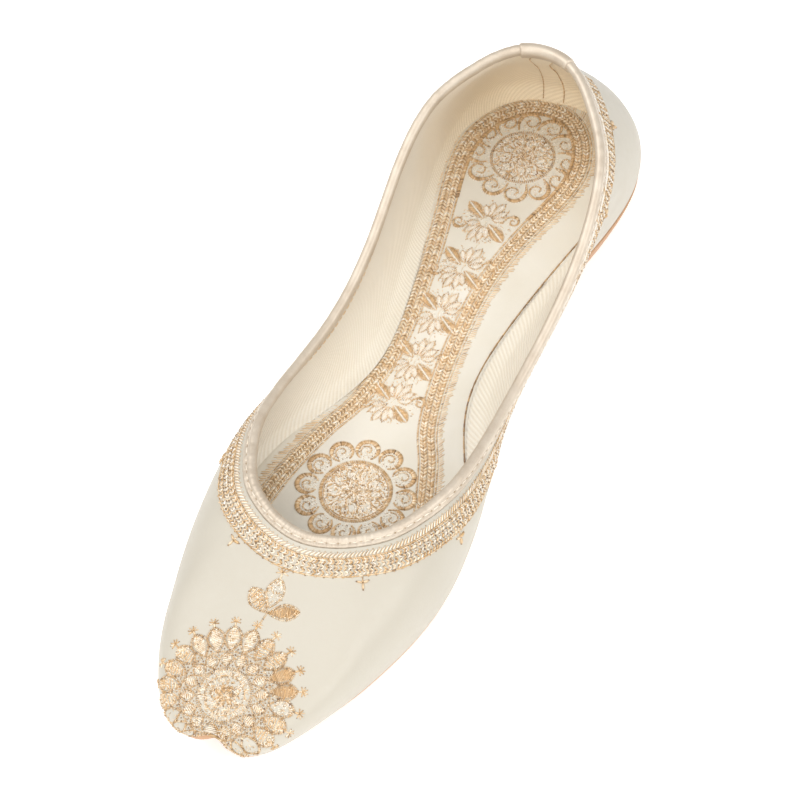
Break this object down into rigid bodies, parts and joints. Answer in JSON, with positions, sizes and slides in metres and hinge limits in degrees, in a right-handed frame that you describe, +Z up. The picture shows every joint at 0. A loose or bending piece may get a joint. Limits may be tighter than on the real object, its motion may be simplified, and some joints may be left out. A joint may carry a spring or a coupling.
{
  "type": "mojari shoe",
  "caption": "Flat slip-on mojari: low-cut hollow leather upper with a cleft toe and bound collar, on a low-heeled moulded sole.",
  "frame": {"origin": "the middle of the bounding box's base, on the floor that the shoe stands on", "axes": "+X towards the toe, along the shoe; +Z up; +Y towards the side that is on the right in the picture"},
  "size_m": [0.2461, 0.0751, 0.0587],
  "materials": {
    "sole_rubber": "matt moulded tan rubber",
    "cream_leather": "smooth satin cream leather",
    "sock_fabric": "cream twill sock and lining",
    "gold_binding": "pearly pale gold strip",
    "gold_thread": "shiny gold embroidery thread",
    "silver_thread": "shiny pale embroidery thread"
  },
  "bodies": {
    "root": {"outsole": "sole_rubber", "upper": "cream_leather", "insole": "sock_fabric", "collar_binding": "gold_binding", "binding_patch": "gold_binding"}
  },
  "joints": []
}
